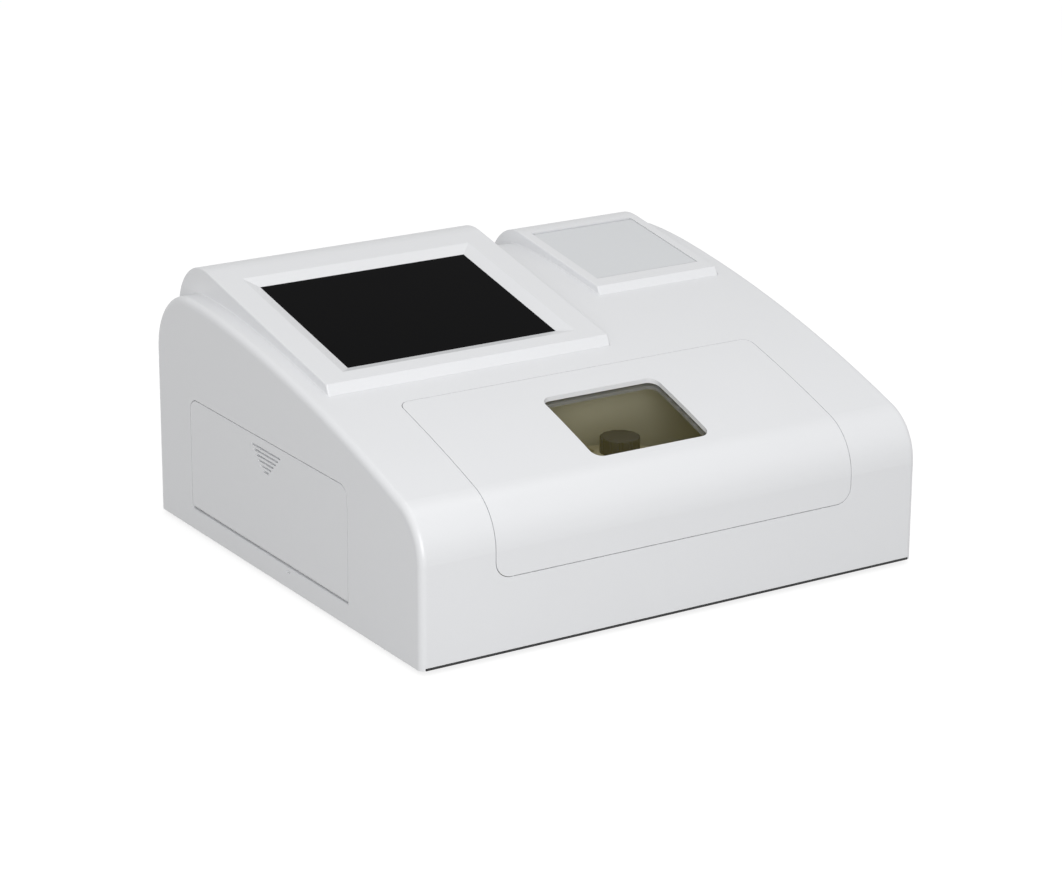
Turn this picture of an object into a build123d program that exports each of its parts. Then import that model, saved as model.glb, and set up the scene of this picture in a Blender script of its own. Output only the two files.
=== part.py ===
"""Bench-top rapid test reader: white moulded case, hinged sample lid, tilted screen and slip printer.

Lengths are millimetres. +X is to the right of the user, -Y is the front, +Z is up. The origin is on the
table, under the middle of the case.
"""

from build123d import *
import os
from math import atan2, cos, hypot, radians, sin, sqrt, tan

# ---- Case: outside shape ----
foot_height = 3.0
front_height = 69.3  # upright part of the front wall
nose_radius = 37.8  # rounding from the front wall to the sloping hood
front_slope = 19.6  # slope of the hood behind the nose, degrees
hood_radius = 1113.0  # the long, nearly flat arc of the hood
rear_slope = 6.7  # slope at the far end of that arc, degrees
rear_radius = 45.6  # rounding from the top to the rear wall
side_edge_radius = 4.8  # rounding of the side walls' outer edges
wall = 3.0

# ---- Gaps and fits ----
seam_gap = 0.5  # open seam round the lid, the door and the printer cover
seat_gap = 0.2  # between pieces that are screwed or clipped together
running_fit = 0.05  # radial clearance of a turning pin or shaft
end_play = 0.5  # at the ends of a pin, a lamp or a shaft in its bore
sink = 0.5  # how far a boss or rib runs into the wall that carries it
overcut = 1.0  # how far a cutting block runs past the surface that it opens
match = 0.01  # two places closer than this are the same

# ---- Sample lid ----
lid_side_margin = 55.0  # from the lid to the case's side
lid_rear_setback = 0.3  # rear seam, in front of the carousel's rearmost point
lid_bottom = 51.3  # the front seam, above the case's lower edge
lid_rear_corner = 7.0
lid_front_corner = 11.0
lid_swing_skin = 1.2  # thickness left at the case's edge behind the lid
lid_swing_relief = 1.4  # undercut below that skin, where the lid's rear edge swings
hinge_setback = 20.0  # hinge pins, in front of the rear seam
hinge_drop = 6.3  # hinge pins, below the outer surface
hinge_pin_radius = 2.0
hinge_pin_length = 17.0
hinge_lug_radius = 4.0
hinge_lug_width = 9.0
hinge_lug_gap = 1.5  # from the lid's side edge to the lug
hinge_pin_head = 1.0  # outside the tray's wall

# ---- Window in the lid ----
window_width = 90.8
window_length = 67.3
window_front = 29.7  # from the front wall
window_corner = 7.5
window_margin = 6.0  # how far the pane reaches under the lid
pane_thickness = 2.0
retainer_thickness = 1.6
retainer_rim = 9.0
retainer_lip = 1.0  # how far the retainer shows inside the window

# ---- Sample chamber ----
tray_floor_height = 37.5  # top of the tray's floor, above the case's lower edge
tray_thickness = 2.4
tray_front_lip = 55.0  # top of the tray's front wall, above the case's lower edge
tray_side_gap = 1.0  # between the lid's side edge and the tray's wall
tray_rear_gap = 1.0  # between the swinging lid's rear edge and the tray's rear wall

# ---- Carousel ----
carousel_front_space = 18.6  # from the front wall to the carousel
carousel_radius = 51.0
carousel_height = 39.0
carousel_lift = 2.5  # running gap above the tray's floor
socket_count = 12
socket_side = 12.6
socket_floor = 3.0
socket_outer_wall = 2.7
socket_inner_wall = 3.7
carousel_web = 3.0
hub_radius = 9.0
dome_top_radius = 15.0
dome_height = 12.0
knob_radius = 13.4
knob_height = 11.0
knob_grips = 12
knob_grip_radius = 1.6
knob_edge_radius = 0.8
light_hole_radius = 2.0
light_hole_height = 16.0  # above the carousel's lower face

# ---- Carousel drive and optics ----
motor_side = 42.3
motor_height = 26.0
motor_corner = 4.0
motor_boss_radius = 11.0
motor_boss_height = 2.0
motor_stack_height = 13.0  # stack of plates in the motor's middle
motor_stack_step = 0.5  # the stack is this much slimmer on each side
motor_screw_spacing = 31.0
motor_screw_reach = 2.3  # into the motor
motor_hole_depth = 2.9
spindle_radius = 2.5
spindle_foot = 8.0  # from the motor's lower face to the spindle's end
screw_radius = 1.5
screw_head_radius = 2.9
screw_head_height = 2.0
screw_socket_radius = 1.1
screw_socket_depth = 1.2
emitter_gap = 7.0  # from the lamp post to the carousel's inner wall
emitter_size = (9.0, 14.0, 26.0)
detector_gap = 1.5
detector_size = (20.0, 26.0, 34.0)
detector_corner = 2.0
optic_bore_radius = 2.5
lens_thickness = 3.0
lens_from_middle = 2.0  # lens, towards the carousel from the detector's middle

# ---- Screen housing ----
display_left = 15.2  # from the case's left side
display_side_margin = 28.2  # from the screen to the housing's side
display_rear_margin = 25.0  # from the screen to the rear rounding, along the slope
display_tilt = 12.0
display_rise = 6.5  # lip height above the hood
lip_lean = 3.0
housing_round = 36.5
housing_setback = 6.0  # housings' rear walls, in front of the case's rear
housing_wall = 2.5
housing_top_wall = 3.6
housing_edge_radius = 1.2
frame_margin = 4.0  # shelf of the case that a housing stands on
frame_cut_depth = 12.0  # how deep the case is open below a housing's lip
screen_width = 162.0
screen_height = 123.0
screen_front = 21.0  # from the lip, along the slope
bevel_width = 9.2
bevel_depth = 3.4
glass_border = 9.0
glass_thickness = 1.8
lcd_border = 8.0
lcd_thickness = 5.6
lcd_board_size = (120.0, 84.0, 1.6)
lcd_board_gap = 4.0
bracket_length = 48.0
bracket_thickness = 1.5
bracket_reach = 12.0  # how far a bracket holds the panel's back

# ---- Printer ----
printer_right = 18.1  # from the case's right side
printer_side_margin = 8.0  # from the cover to the housing's side
printer_rear_margin = 3.35  # from the cover to the rear rounding, along the slope
housing_gap = 35.3  # between the two housings
lid_to_display = 24.3  # from the lid's rear seam to the screen housing's lip
printer_tilt = 8.44
printer_rise = 5.2
cover_width = 85.0
cover_length = 86.0
cover_front = 13.0  # from the lip, along the slope
cover_thickness = 2.5
cover_recess = 0.5  # the cover lies this much below the housing
paper_slot = 1.2  # open slot in front of the cover, where the slip comes out
bucket_wall = 2.0
bucket_width = 66.0
roll_radius = 22.0
roll_core_radius = 6.5
roll_core_wall = 1.0
roll_width = 57.0
roll_gap = 0.4
roll_from_lip = 56.0
roll_depth = 31.0  # roll's axis below the cover
platen_radius = 5.0
platen_width = 58.0
platen_shaft_radius = 1.8
platen_depth = 11.0
platen_from_front = 10.0  # platen's axis behind the cover's front edge
platen_arm = 3.0
print_head_gap = 0.3
print_head_size = (60.0, 16.0)  # width and height
print_head_ahead = 3.0  # head's front face, in front of the platen's axis
bucket_flange = 2.0

# ---- Side door and battery bay ----
door_length = 217.6
door_height = 79.3
door_front = 92.0  # from the front wall
door_bottom = 15.4  # above the case's lower edge
door_corner = 9.0
door_thickness = 2.5
door_pin_radius = 1.25
door_pin_length = 14.0
door_pin_boss = 4.5
pin_boss_thickness = 3.5  # from the side wall's inner face
pin_boss_height = 5.0
grip_bars = 6
grip_pitch = 3.0
grip_bar = 1.4
grip_top_width = 40.5
grip_bottom_width = 8.3
grip_below_top = 7.0
grip_depth = 1.7
bay_inset = 7.0  # bay's ends, inside the door's ends
bay_depth = 40.0
bay_wall = 2.0
bay_behind_door = 2.8
battery_side = 37.0
battery_length = 140.0
battery_edge = 9.2
battery_end_radius = 1.0
strap_width = 12.0
strap_thickness = 0.6
notch_length = 5.6
notch_height = 1.5
notch_depth = 1.0
notch_from_door_front = 80.6
notch_below_door = 3.9

# ---- Rear connectors ----
panel_width = 150.0
panel_height = 40.0
panel_from_bottom = 16.0
panel_corner = 4.0
panel_border = 4.0
panel_thickness = 2.0
switch_width = 19.0
switch_height = 13.0
switch_depth = 16.0
switch_side_wall = 2.0
switch_end_wall = 1.5
switch_back = 2.0
rocker_gap = 0.4
rocker_width = 12.0
rocker_reach = 8.5  # pivot to the rocker's raised ends
rocker_dip = 2.0
usb_width = 13.2
usb_height = 5.8
usb_depth = 14.0
usb_pitch = 22.0
usb_skin = 0.6
usb_back = 1.0
usb_tongue = 1.8
usb_tongue_recess = 1.5  # tongue's tip, inside the port's face
port_width = 15.6
port_height = 13.2
port_depth = 16.0
port_skin = 1.8
port_hollow = 11.0
inlet_radius = 5.4
inlet_bore = 3.2
inlet_pin_radius = 1.0
inlet_pin_length = 9.5
inlet_depth = 13.0
inlet_bore_depth = 10.0
connector_pitch = 30.0
connector_recess = 1.0  # connectors' faces, inside the rear wall's outer face
vent_count = 9
vent_width = 3.0
vent_height = 22.0
vent_pitch = 8.0

# ---- Base and boards ----
base_flange = 1.5
base_deck = 3.0
base_clearance = 0.3
foot_radius = 9.0
foot_taper = 1.0
foot_inset = 38.0
foot_stem_radius = 3.0
foot_stem_head = 1.0  # stem above the base's deck
boss_radius = 5.0
boss_height = 26.0
boss_inset = 10.0
boss_rear_inset = 15.0  # from the housings' rear walls
pillar_inset = 22.0  # tray's legs, in from the lid's side edges and the front wall
board_size = (150.0, 110.0, 1.6)
board_standoff = 7.0
standoff_radius = 3.0
board_hole_inset = 5.0
board_gap_behind_tray = 12.0
magnet_radius = 4.0
magnet_thickness = 2.0
magnet_from_middle = 100.0
catch_from_middle = 60.0
keeper_thickness = 1.2

processor_side = 24.0
processor_left = 30.0  # from the board's middle
processor_back = 10.0
chip_side = 12.0
chip_thickness = 2.4
chip_count = 3
chip_pitch = 24.0
chip_front = 25.0  # chips' row, from the board's middle
capacitor_count = 4
capacitor_radius = 5.0
capacitor_height = 14.0
capacitor_pitch = 16.0
capacitor_right = 12.0  # row's middle, from the board's middle
capacitor_back = 40.0

# ---- Worked-out places ----
socket_circle = carousel_radius - socket_outer_wall - socket_side / 2
carousel_core_radius = socket_circle - socket_side / 2 - socket_inner_wall
emitter_radius = carousel_core_radius - emitter_gap - emitter_size[0] / 2
carousel_from_front = carousel_front_space + carousel_radius
lid_length = carousel_from_front + carousel_radius - lid_rear_setback
display_width = screen_width + 2 * display_side_margin
printer_width = cover_width + 2 * printer_side_margin
display_slope = screen_front + screen_height + display_rear_margin
printer_slope = cover_front + cover_length + printer_rear_margin


def housing_depth(slope, tilt):
    """Depth of a housing, from the top of its lip to its rear wall."""
    angle = radians(tilt)
    return slope * cos(angle) + housing_round * (1 + sin(angle))


body_width = display_left + display_width + housing_gap + printer_width + printer_right
body_depth = lid_length + lid_to_display + housing_depth(display_slope, display_tilt) + housing_setback
front_y = -body_depth / 2
rear_y = body_depth / 2
side_x = body_width / 2
base_z = foot_height
far = 2 * (body_width + body_depth)  # reach of the cutting blocks


def along(centre, radius, slope):
    """Point of an arc (y, z) where the surface has this slope."""
    angle = radians(slope)
    return (centre[0] - radius * sin(angle), centre[1] + radius * cos(angle))


nose_centre = (front_y + nose_radius, base_z + front_height)
hood_start = along(nose_centre, nose_radius, front_slope)
hood_centre = along(hood_start, -hood_radius, front_slope)
hood_end = along(hood_centre, hood_radius, rear_slope)
peak_y = rear_y - rear_radius
crown_radius = (peak_y - hood_end[0]) / sin(radians(rear_slope))
crown_centre = along(hood_end, -crown_radius, rear_slope)
peak_z = crown_centre[1] + crown_radius
rear_centre = (peak_y, peak_z - rear_radius)


def hood_z(y, inset=0.0):
    """Height of the case's outer surface, or of the surface this far inside it."""
    if y < along(nose_centre, nose_radius - inset, front_slope)[0]:
        centre, radius = nose_centre, nose_radius
    elif y < along(hood_centre, hood_radius - inset, rear_slope)[0]:
        centre, radius = hood_centre, hood_radius
    elif y < peak_y:
        centre, radius = crown_centre, crown_radius
    else:
        centre, radius = rear_centre, rear_radius
    return centre[1] + sqrt((radius - inset) ** 2 - (y - centre[0]) ** 2)


def case_block(half_width, inset, floor_z):
    """Solid with the case's side profile, moved in by the inset."""
    with BuildPart() as block:
        with BuildSketch(Plane.YZ):
            with BuildLine():
                front, rear = front_y + inset, rear_y - inset
                CenterArc(nose_centre, nose_radius - inset, 180, front_slope - 90)
                CenterArc(hood_centre, hood_radius - inset, 90 + front_slope, rear_slope - front_slope)
                CenterArc(crown_centre, crown_radius - inset, 90 + rear_slope, -rear_slope)
                CenterArc(rear_centre, rear_radius - inset, 90, -90)
                Polyline(
                    (rear, rear_centre[1]),
                    (rear, floor_z),
                    (front, floor_z),
                    (front, nose_centre[1]),
                )
            make_face()
        extrude(amount=half_width, both=True)
    return block.part


def finish(builder, name):
    """Names a finished piece and writes it."""
    builder.part.label = name
    export_step(builder.part, f"parts/{name}.step")


os.makedirs("parts", exist_ok=True)
solid_case = case_block(side_x, 0, base_z)

# ---- Lid, pins and window: places shared by several pieces ----
lid_half = side_x - lid_side_margin
lid_rear_y = front_y + lid_length
lid_bottom_z = base_z + lid_bottom
hinge_y = lid_rear_y - hinge_setback
hinge_z = hood_z(hinge_y) - hinge_drop
window_y = front_y + window_front + window_length / 2
tray_half = lid_half + tray_side_gap + tray_thickness
tray_floor_z = base_z + tray_floor_height
lid_swing = hypot(hinge_setback, hood_z(lid_rear_y) - hinge_z)
tray_rear_y = hinge_y + lid_swing + tray_rear_gap


def lid_outline(grow):
    """Upright block with the lid's outline, seen from above and from the front."""
    half = lid_half + grow
    with BuildPart() as block:
        with BuildSketch(Plane.XY):
            with Locations((0, lid_rear_y + grow)):
                Rectangle(2 * half, body_depth, align=(Align.CENTER, Align.MAX))
            fillet(vertices().group_by(Axis.Y)[-1], lid_rear_corner + grow)
        extrude(amount=far)
        with BuildSketch(Plane.XZ):
            with Locations((0, lid_bottom_z - grow)):
                Rectangle(2 * half, body_depth, align=(Align.CENTER, Align.MIN))
            fillet(vertices().group_by(Axis.Y)[0], lid_front_corner + grow)
        extrude(amount=far, both=True, mode=Mode.INTERSECT)
    return block.part


def window_block(grow):
    """Upright block with the window's outline."""
    with BuildPart() as block:
        with BuildSketch(Plane.XY):
            with Locations((0, window_y)):
                RectangleRounded(window_width + 2 * grow, window_length + 2 * grow, window_corner + grow)
        extrude(amount=far)
    return block.part


def slab(low, high):
    """Plain block between two corners."""
    with BuildPart() as block:
        with Locations(low):
            Box(high[0] - low[0], high[1] - low[1], high[2] - low[2], align=(Align.MIN,) * 3)
    return block.part


# ---- Screen and printer housings: planes and outlines shared by several pieces ----
housing_rear_y = rear_y - housing_setback
round_y = housing_rear_y - housing_round


def housing_plane(slope, rise, tilt, middle_x):
    """Sloping top of a housing: the origin is the middle of its lip, local y runs up the slope."""
    lip_y = housing_rear_y - housing_depth(slope, tilt)
    angle = radians(tilt)
    return Plane(
        origin=(middle_x, lip_y, hood_z(lip_y) + rise),
        x_dir=(1, 0, 0),
        z_dir=(0, -sin(angle), cos(angle)),
    )


def housing_block(plane, tilt, rise, half_width, side, top):
    """Solid of a housing, its sides moved in by side and its top by top, going down into the case."""
    angle = radians(tilt)
    arc_y = round_y - housing_round * sin(angle)
    arc_z = plane.origin.Z + (arc_y - plane.origin.Y) * tan(angle)
    arc_centre = (round_y, arc_z - housing_round * cos(angle))
    lean = atan2(lip_lean, rise)
    radius = housing_round - top
    start = along(arc_centre, radius, tilt)
    lip_y = plane.origin.Y + (side - top * sin(lean)) / cos(lean) + top * tan(angle)
    lip_z = start[1] - (start[0] - lip_y) * tan(angle)
    foot_z = rear_centre[1]
    foot_y = lip_y - (lip_z - foot_z) * tan(lean)
    with BuildPart() as block:
        with BuildSketch(Plane.YZ.offset(plane.origin.X)):
            with BuildLine():
                CenterArc(arc_centre, radius, 90 + tilt, -(90 + tilt))
                Polyline(
                    (arc_centre[0] + radius, arc_centre[1]),
                    (arc_centre[0] + radius, foot_z),
                    (foot_y, foot_z),
                    (lip_y, lip_z),
                    start,
                )
            make_face()
        extrude(amount=half_width - side, both=True)
    return block.part


display_half = display_width / 2
display_x = -side_x + display_left + display_half
display_plane = housing_plane(display_slope, display_rise, display_tilt, display_x)
printer_half = printer_width / 2
printer_x = side_x - printer_right - printer_half
printer_plane = housing_plane(printer_slope, printer_rise, printer_tilt, printer_x)


def on_plane(plane, x, y, z):
    """A plane parallel to the given one, with its origin at these local coordinates."""
    return Plane(origin=plane.from_local_coords(Vector(x, y, z)), x_dir=plane.x_dir, z_dir=plane.z_dir)


# ---- Side door: places shared with the case and the bay ----
door_y = front_y + door_front + door_length / 2
door_low_z = base_z + door_bottom
door_axis_x = -side_x + door_thickness
door_axis_z = door_low_z + door_thickness
wall_x = -side_x + wall


def door_block(grow, depth):
    """Block with the door's outline, from outside the case to this depth."""
    with BuildPart() as block:
        with BuildSketch(Plane.YZ.offset(-side_x - wall)):
            with Locations((door_y, door_low_z - grow)):
                Rectangle(door_length + 2 * grow, door_height + 2 * grow, align=(Align.CENTER, Align.MIN))
            fillet(vertices().group_by(Axis.Y)[-1], door_corner + grow)
        extrude(amount=wall + depth)
    return block.part


# ---- Rear panel: places shared with the connectors ----
panel_z = base_z + panel_from_bottom + panel_height / 2
panel_face_y = rear_y - wall
connector_x = [(index - 2) * connector_pitch for index in range(5)]
switch_x, inlet_x, usb_x, port_x = connector_x[0], connector_x[1], connector_x[2], connector_x[4]


def rear_slab(x, width, height, near, deep):
    """Block behind the rear wall, between two depths measured from the case's rear face."""
    return slab(
        (x - width / 2, rear_y - deep, panel_z - height / 2),
        (x + width / 2, rear_y - near, panel_z + height / 2),
    )


# ---- Base: places shared with the case and the boards ----
boss_x = side_x - wall - boss_inset
boss_rows = [front_y + wall + boss_inset, housing_rear_y - boss_rear_inset]
boss_places = [(sign * boss_x, y) for sign in (-1, 1) for y in boss_rows]
deck_z = base_z + base_deck
pillar_x = lid_half - pillar_inset
pillar_places = [(sign * pillar_x, y) for sign in (-1, 1) for y in (front_y + pillar_inset, hinge_y)]
screw_places = boss_places + pillar_places
foot_places = [
    (sx * (side_x - foot_inset), sy * (body_depth / 2 - foot_inset)) for sx in (-1, 1) for sy in (-1, 1)
]


def top_cover_piece():
    """White outer shell: open below, with openings for the lid, the housings, the door and the connectors."""
    inner = case_block(side_x - wall, wall, base_z - overcut)
    swing = case_block(lid_half + seam_gap, lid_swing_skin, base_z)
    with BuildPart() as cover:
        add(solid_case)
        ends = cover.edges().filter_by(
            lambda e: abs(abs((e @ 0.5).X) - side_x) < match and (e @ 0.5).Z > base_z + match
        )
        fillet(ends, side_edge_radius)
        add(inner, mode=Mode.SUBTRACT)
        add(lid_outline(seam_gap), mode=Mode.SUBTRACT)
        with Locations((0, lid_rear_y + seam_gap - lid_rear_corner, 0)):
            relief = Box(
                2 * (lid_half + seam_gap),
                lid_rear_corner + lid_swing_relief,
                far,
                align=(Align.CENTER, Align.MIN, Align.CENTER),
                mode=Mode.PRIVATE,
            )
        add(relief.intersect(swing), mode=Mode.SUBTRACT)
        add(door_block(seam_gap, wall + overcut), mode=Mode.SUBTRACT)
        add(notch_block(), mode=Mode.SUBTRACT)
        for plane, half in ((display_plane, display_half), (printer_plane, printer_half)):
            low_y = plane.origin.Y - lip_lean + frame_margin
            add(
                slab(
                    (plane.origin.X - half + frame_margin, low_y, hood_z(low_y) - frame_cut_depth),
                    (plane.origin.X + half - frame_margin, round_y + frame_margin, far),
                ),
                mode=Mode.SUBTRACT,
            )
        rebate_x = side_x - wall - base_clearance
        rebate_z = base_z + base_flange + base_clearance
        for middle_y in (front_y, rear_y):
            near, deep = middle_y - wall - overcut, middle_y + wall + overcut
            add(slab((-rebate_x, near, base_z - overcut), (rebate_x, deep, rebate_z)), mode=Mode.SUBTRACT)
        with BuildSketch(Plane.XZ.offset(-rear_y - overcut)):
            with Locations((0, panel_z)):
                RectangleRounded(
                    panel_width - 2 * panel_border,
                    panel_height - 2 * panel_border,
                    panel_corner,
                )
            with Locations((0, panel_z + panel_height / 2 + vent_height)):
                with GridLocations(vent_pitch, 1, vent_count, 1):
                    SlotOverall(vent_height, vent_width, rotation=90)
        extrude(amount=wall + 2 * overcut, mode=Mode.SUBTRACT)
        for end in (-1, 1):
            boss_y = door_y + end * (door_length / 2 + seam_gap + door_pin_boss / 2)
            with Locations((wall_x - sink, boss_y, door_axis_z)):
                Box(
                    pin_boss_thickness + sink,
                    door_pin_boss,
                    pin_boss_height,
                    align=(Align.MIN, Align.CENTER, Align.CENTER),
                )
        with Locations(Plane((door_axis_x, door_y, door_axis_z), z_dir=(0, 1, 0))):
            Cylinder(
                door_pin_radius + running_fit,
                door_length + 2 * (seam_gap + door_pin_boss + overcut),
                mode=Mode.SUBTRACT,
            )
        for x, y in boss_places:
            with Locations((x, y, deck_z + seat_gap)):
                Cylinder(boss_radius, boss_height, align=(Align.CENTER, Align.CENTER, Align.MIN))
                Box(
                    wall,
                    abs((rear_y if y > 0 else front_y) - y) - wall / 2,
                    boss_height,
                    align=(Align.CENTER, Align.MIN if y > 0 else Align.MAX, Align.MIN),
                )
        with Locations(*[(x, y, deck_z + seat_gap) for x, y in boss_places]):
            Cylinder(
                screw_radius,
                boss_height - wall,
                align=(Align.CENTER, Align.CENTER, Align.MIN),
                mode=Mode.SUBTRACT,
            )
    return cover


def notch_block():
    """Short slot under the side door."""
    y = front_y + door_front + notch_from_door_front
    z = door_low_z - notch_below_door
    return slab(
        (-side_x - overcut, y - notch_length / 2, z - notch_height / 2),
        (-side_x + notch_depth, y + notch_length / 2, z + notch_height / 2),
    )


top_cover = top_cover_piece()
finish(top_cover, "top_cover")

# ---- Base plate: black moulded plate, screwed up into the cover's bosses ----
base_half = side_x - wall - 2 * base_clearance
with BuildPart() as base_plate:
    add(slab((-base_half, front_y + seat_gap, base_z), (base_half, rear_y - seat_gap, base_z + base_flange)))
    add(
        slab(
            (-base_half, front_y + wall + base_clearance, base_z),
            (base_half, rear_y - wall - base_clearance, deck_z),
        )
    )
    with Locations(*[(x, y, base_z) for x, y in screw_places]):
        Cylinder(screw_radius + seat_gap, 4 * base_deck, mode=Mode.SUBTRACT)
        Cylinder(screw_head_radius + seat_gap, 2 * screw_head_height, mode=Mode.SUBTRACT)
    with Locations(*[(x, y, base_z) for x, y in foot_places]):
        Cylinder(foot_stem_radius, 4 * base_deck, mode=Mode.SUBTRACT)
finish(base_plate, "base_plate")

with BuildPart() as base_screws:
    with Locations(*[(x, y, base_z) for x, y in screw_places]):
        Cylinder(screw_head_radius, screw_head_height, align=(Align.CENTER, Align.CENTER, Align.MIN))
        Cylinder(screw_radius, boss_height / 2, align=(Align.CENTER, Align.CENTER, Align.MIN))
    with Locations(*[(x, y, base_z) for x, y in screw_places]):
        Cylinder(screw_socket_radius, 2 * screw_socket_depth, mode=Mode.SUBTRACT)
finish(base_screws, "base_screws")

with BuildPart() as rubber_feet:
    with Locations(*[(x, y, 0) for x, y in foot_places]):
        Cone(
            foot_radius - foot_taper,
            foot_radius,
            foot_height,
            align=(Align.CENTER, Align.CENTER, Align.MIN),
        )
        Cylinder(
            foot_stem_radius,
            foot_height + base_deck + foot_stem_head,
            align=(Align.CENTER, Align.CENTER, Align.MIN),
        )
finish(rubber_feet, "rubber_feet")

# ---- Sample lid: shell with the case's own curve, hinge lugs below it ----
lug_x = lid_half - hinge_lug_gap - hinge_lug_width / 2


def lid_lugs():
    """Two hanging lugs, cut to the middle of the lid's wall."""
    under = case_block(lid_half, wall / 2, base_z)
    with BuildPart() as lugs:
        for sign in (-1, 1):
            with BuildSketch(Plane.YZ.offset(sign * lug_x)):
                with Locations((hinge_y, hinge_z)):
                    Circle(hinge_lug_radius)
                    Rectangle(2 * hinge_lug_radius, 3 * hinge_drop, align=(Align.CENTER, Align.MIN))
            extrude(amount=hinge_lug_width / 2, both=True)
        add(under, mode=Mode.INTERSECT)
    return lugs.part


with BuildPart() as lid:
    add(solid_case)
    add(case_block(far, wall, base_z - overcut), mode=Mode.SUBTRACT)
    add(lid_outline(0), mode=Mode.INTERSECT)
    add(window_block(0), mode=Mode.SUBTRACT)
    add(lid_lugs())
    with Locations(Plane((0, hinge_y, hinge_z), z_dir=(1, 0, 0))):
        Cylinder(hinge_pin_radius + running_fit, 3 * body_width, mode=Mode.SUBTRACT)
finish(lid, "lid")


def under_lid(grow, inset, thickness):
    """Layer below the lid with the window's outline."""
    with BuildPart() as layer:
        add(case_block(lid_half, inset, base_z))
        add(case_block(far, inset + thickness, base_z - overcut), mode=Mode.SUBTRACT)
        add(window_block(grow), mode=Mode.INTERSECT)
    return layer


window_pane = under_lid(window_margin, wall, pane_thickness)
finish(window_pane, "window_pane")

with BuildPart() as pane_retainer:
    add(under_lid(retainer_rim, wall, pane_thickness + retainer_thickness).part)
    add(under_lid(window_margin, wall, pane_thickness).part, mode=Mode.SUBTRACT)
    add(window_block(-retainer_lip), mode=Mode.SUBTRACT)
finish(pane_retainer, "pane_retainer")

with BuildPart() as lid_hinge_pins:
    for sign in (-1, 1):
        middle = sign * (tray_half + hinge_pin_head - hinge_pin_length / 2)
        with Locations(Plane((middle, hinge_y, hinge_z), z_dir=(1, 0, 0))):
            Cylinder(hinge_pin_radius, hinge_pin_length)
finish(lid_hinge_pins, "lid_hinge_pins")

# ---- Chamber tray: open tub under the lid, its side walls carry the hinge pins ----
carousel_y = front_y + carousel_from_front
tray_front_y = front_y + wall + 2 * seat_gap
motor_screws_at = [
    (sx * motor_screw_spacing / 2, carousel_y + sy * motor_screw_spacing / 2)
    for sx in (-1, 1)
    for sy in (-1, 1)
]
with BuildPart() as chamber_tray:
    add(case_block(tray_half, wall + base_clearance, tray_floor_z - tray_thickness))
    add(
        slab((-far, tray_rear_y + tray_thickness, 0), (far, far, far)),
        mode=Mode.SUBTRACT,
    )
    add(slab((-far, -far, 0), (far, tray_front_y, far)), mode=Mode.SUBTRACT)
    add(
        slab(
            (-tray_half + tray_thickness, tray_front_y + tray_thickness, tray_floor_z),
            (tray_half - tray_thickness, tray_rear_y, far),
        ),
        mode=Mode.SUBTRACT,
    )
    add(
        slab(
            (-tray_half + tray_thickness, front_y, base_z + tray_front_lip),
            (tray_half - tray_thickness, carousel_y, far),
        ),
        mode=Mode.SUBTRACT,
    )
    with Locations(Plane((0, hinge_y, hinge_z), z_dir=(1, 0, 0))):
        Cylinder(hinge_pin_radius, 3 * body_width, mode=Mode.SUBTRACT)
    for x, y in pillar_places:
        with Locations((x, y, deck_z)):
            Cylinder(
                boss_radius,
                tray_floor_z - tray_thickness / 2 - deck_z,
                align=(Align.CENTER, Align.CENTER, Align.MIN),
            )
            Cylinder(
                screw_radius,
                boss_height - wall,
                align=(Align.CENTER, Align.CENTER, Align.MIN),
                mode=Mode.SUBTRACT,
            )
    with Locations((0, carousel_y, tray_floor_z)):
        Cylinder(motor_boss_radius + seat_gap, 4 * tray_thickness, mode=Mode.SUBTRACT)
    with Locations(*[(x, y, tray_floor_z) for x, y in motor_screws_at]):
        Cylinder(screw_radius, 4 * tray_thickness, mode=Mode.SUBTRACT)
finish(chamber_tray, "chamber_tray")

# ---- Carousel: ring of square cuvette pockets under a domed web, turning with its spindle ----
carousel_z = tray_floor_z + carousel_lift
carousel_top_z = carousel_z + carousel_height
dome_z = carousel_top_z + dome_height
motor_top_z = tray_floor_z - tray_thickness
motor_z = motor_top_z - motor_height
with BuildPart() as carousel:
    with Locations((0, carousel_y, carousel_z)):
        Cylinder(carousel_radius, carousel_height, align=(Align.CENTER, Align.CENTER, Align.MIN))
        Cylinder(
            carousel_core_radius,
            carousel_height - carousel_web,
            align=(Align.CENTER, Align.CENTER, Align.MIN),
            mode=Mode.SUBTRACT,
        )
        Cylinder(hub_radius, carousel_height, align=(Align.CENTER, Align.CENTER, Align.MIN))
    with Locations((0, carousel_y, carousel_top_z)):
        Cone(
            socket_circle - socket_side / 2 - carousel_web,
            dome_top_radius,
            dome_height,
            align=(Align.CENTER, Align.CENTER, Align.MIN),
        )
    with Locations((0, carousel_y, carousel_z + socket_floor)):
        with PolarLocations(socket_circle, socket_count):
            Box(
                socket_side,
                socket_side,
                carousel_height,
                align=(Align.CENTER, Align.CENTER, Align.MIN),
                mode=Mode.SUBTRACT,
            )
    for index in range(socket_count):
        angle = radians(360 / socket_count * index)
        outward = (cos(angle), sin(angle), 0)
        middle = (carousel_core_radius + carousel_radius) / 2
        hole = (middle * cos(angle), carousel_y + middle * sin(angle), carousel_z + light_hole_height)
        with Locations(Plane(hole, z_dir=outward)):
            Cylinder(
                light_hole_radius,
                carousel_radius - carousel_core_radius + 2 * overcut,
                mode=Mode.SUBTRACT,
            )
    with Locations((0, carousel_y, carousel_z)):
        Cylinder(spindle_radius, 4 * carousel_height, mode=Mode.SUBTRACT)
finish(carousel, "carousel")

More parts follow.
